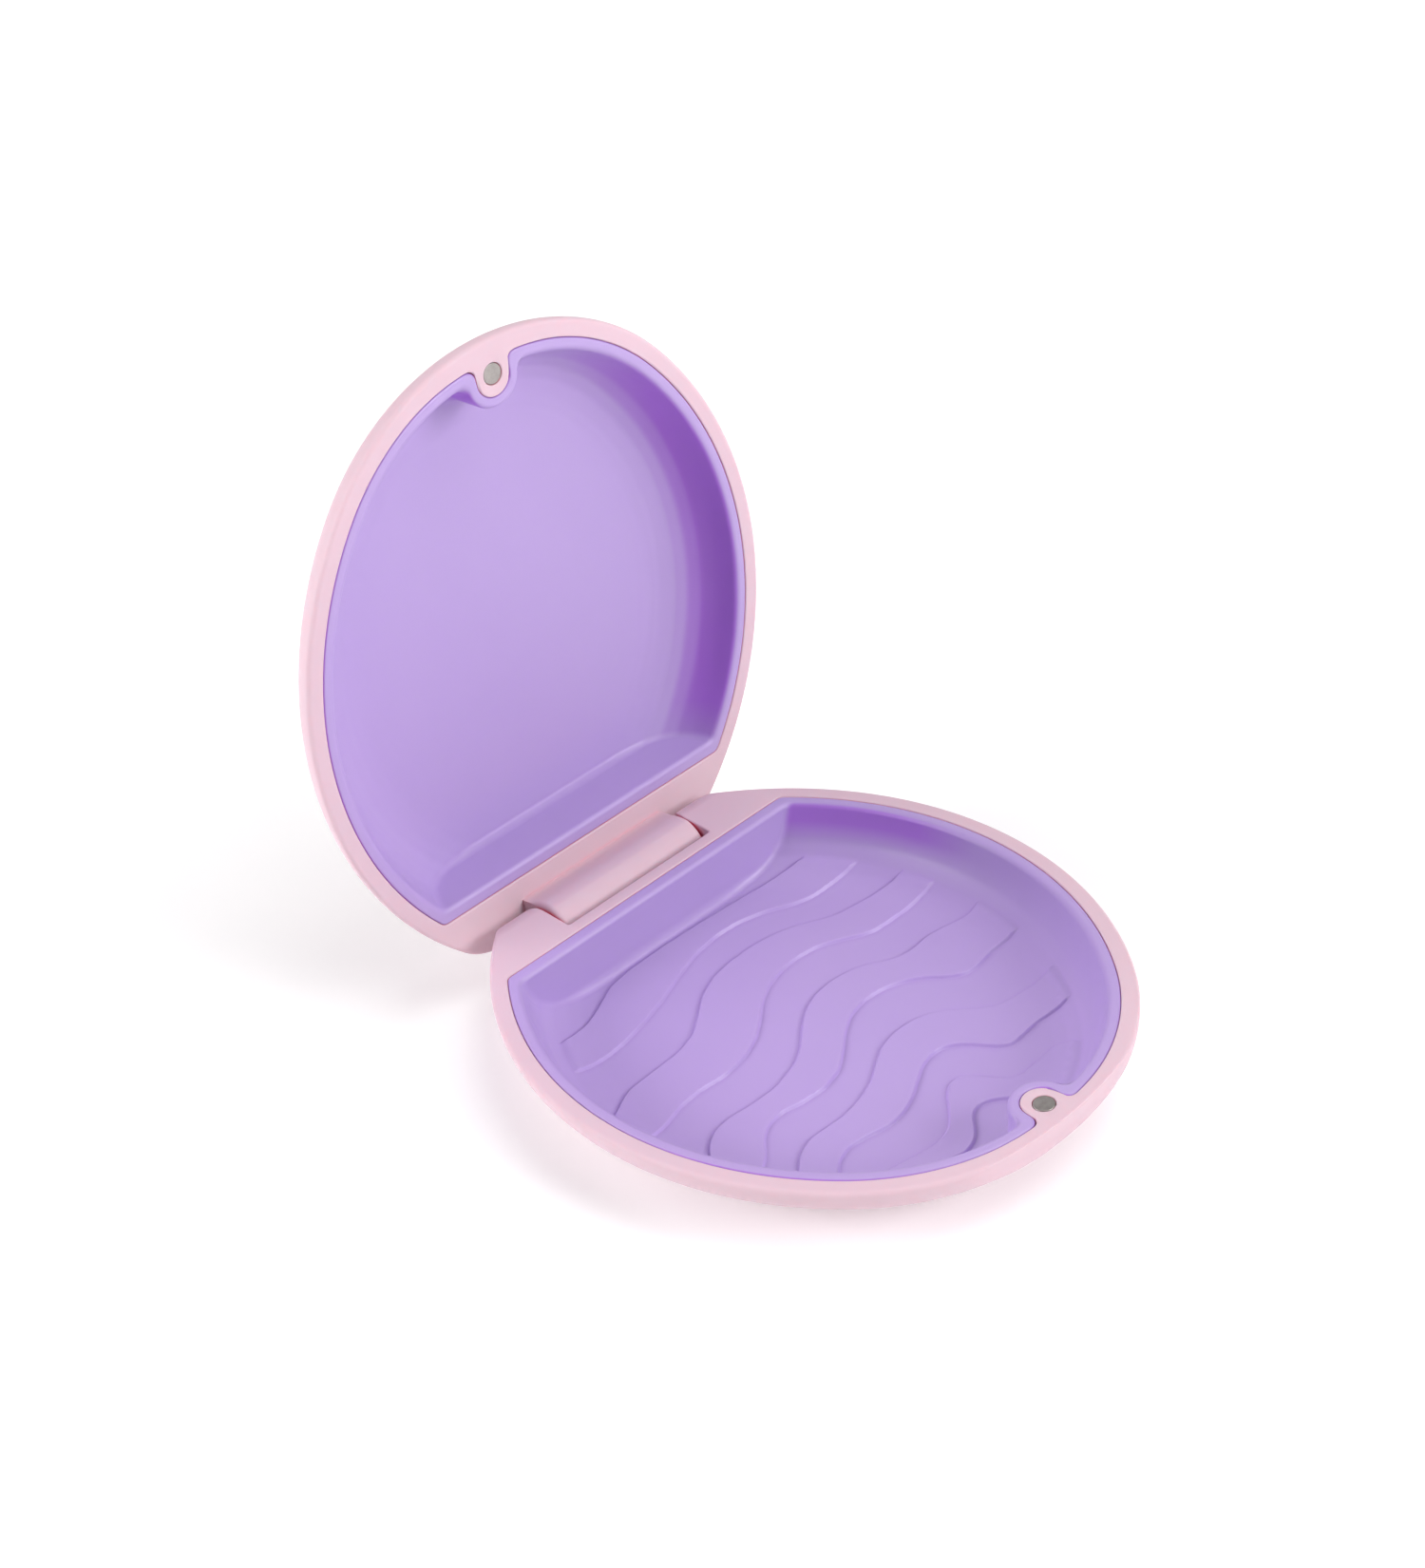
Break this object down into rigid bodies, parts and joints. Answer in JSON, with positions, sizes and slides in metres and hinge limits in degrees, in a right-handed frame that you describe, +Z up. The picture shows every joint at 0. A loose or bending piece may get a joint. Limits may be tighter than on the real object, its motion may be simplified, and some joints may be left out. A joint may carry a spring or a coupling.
{
  "type": "mouthguard case",
  "caption": "Hinged oval clam-shell case for a mouthguard, with soft liners in both halves, a wavy gripping floor, a magnetic catch at the front and a thumb scoop in the rim.",
  "frame": {"origin": "centre of the flat underside that the case rests on", "axes": "+Z up from the underside, -Y towards the opening front, +X along the hinge axis"},
  "size_m": [0.0808, 0.1057, 0.0942],
  "materials": {
    "shell_plastic": "soft satin moulded plastic, pale pink",
    "liner_silicone": "satin moulded silicone, lilac",
    "magnet_nickel": "nickel-plated magnet face, satin",
    "pin_steel": "drawn steel wire"
  },
  "bodies": {
    "base": {"base_shell": "shell_plastic", "base_liner": "liner_silicone", "base_magnet": "magnet_nickel", "hinge_pin": "pin_steel"},
    "lid": {"lid_shell": "shell_plastic", "lid_liner": "liner_silicone", "lid_magnet": "magnet_nickel"}
  },
  "joints": [
    {"name": "lid_hinge", "type": "hinge", "parent": "base", "child": "lid", "pos_m": [0, 0.03805, 0.00783], "axis": [1, 0, 0], "range_deg": [0, 92.56]}
  ]
}
